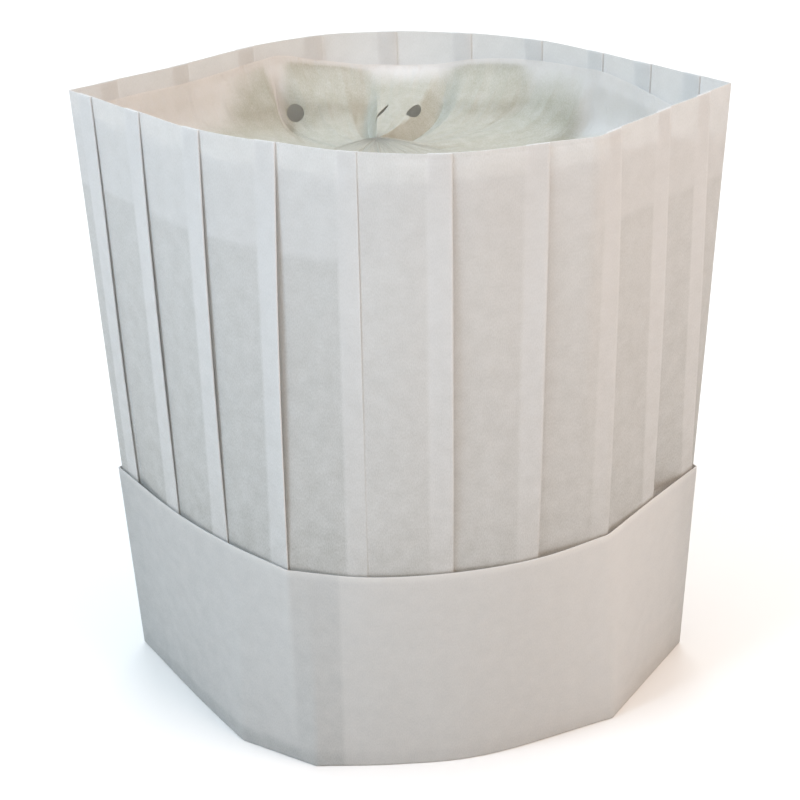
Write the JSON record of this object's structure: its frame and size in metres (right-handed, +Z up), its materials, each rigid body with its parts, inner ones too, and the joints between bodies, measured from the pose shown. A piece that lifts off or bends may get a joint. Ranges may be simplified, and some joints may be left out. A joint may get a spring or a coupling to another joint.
{
  "type": "disposable chef hat",
  "caption": "Tall pleated disposable chef hat of white non-woven sheet, with a turned-up headband, a glued side seam and a gathered roof with vent holes.",
  "frame": {"origin": "middle of the bounding box in plan, on the surface that the hat stands on", "axes": "+Z up through the crown, -Y the front with the glued seam left of its middle, +X to the right seen from the front"},
  "size_m": [0.2278, 0.1668, 0.23],
  "materials": {
    "crown_sheet": "matt white non-woven viscose sheet, slightly translucent, cloudy fibre structure",
    "roof_sheet": "thin matt off-white non-woven sheet, soft and creased",
    "band_sheet": "matt white non-woven viscose sheet, doubled and stiff, sharply creased at the foot"
  },
  "bodies": {
    "root": {"crown_wall": "crown_sheet", "crown_top": "roof_sheet", "headband": "band_sheet"}
  },
  "joints": []
}
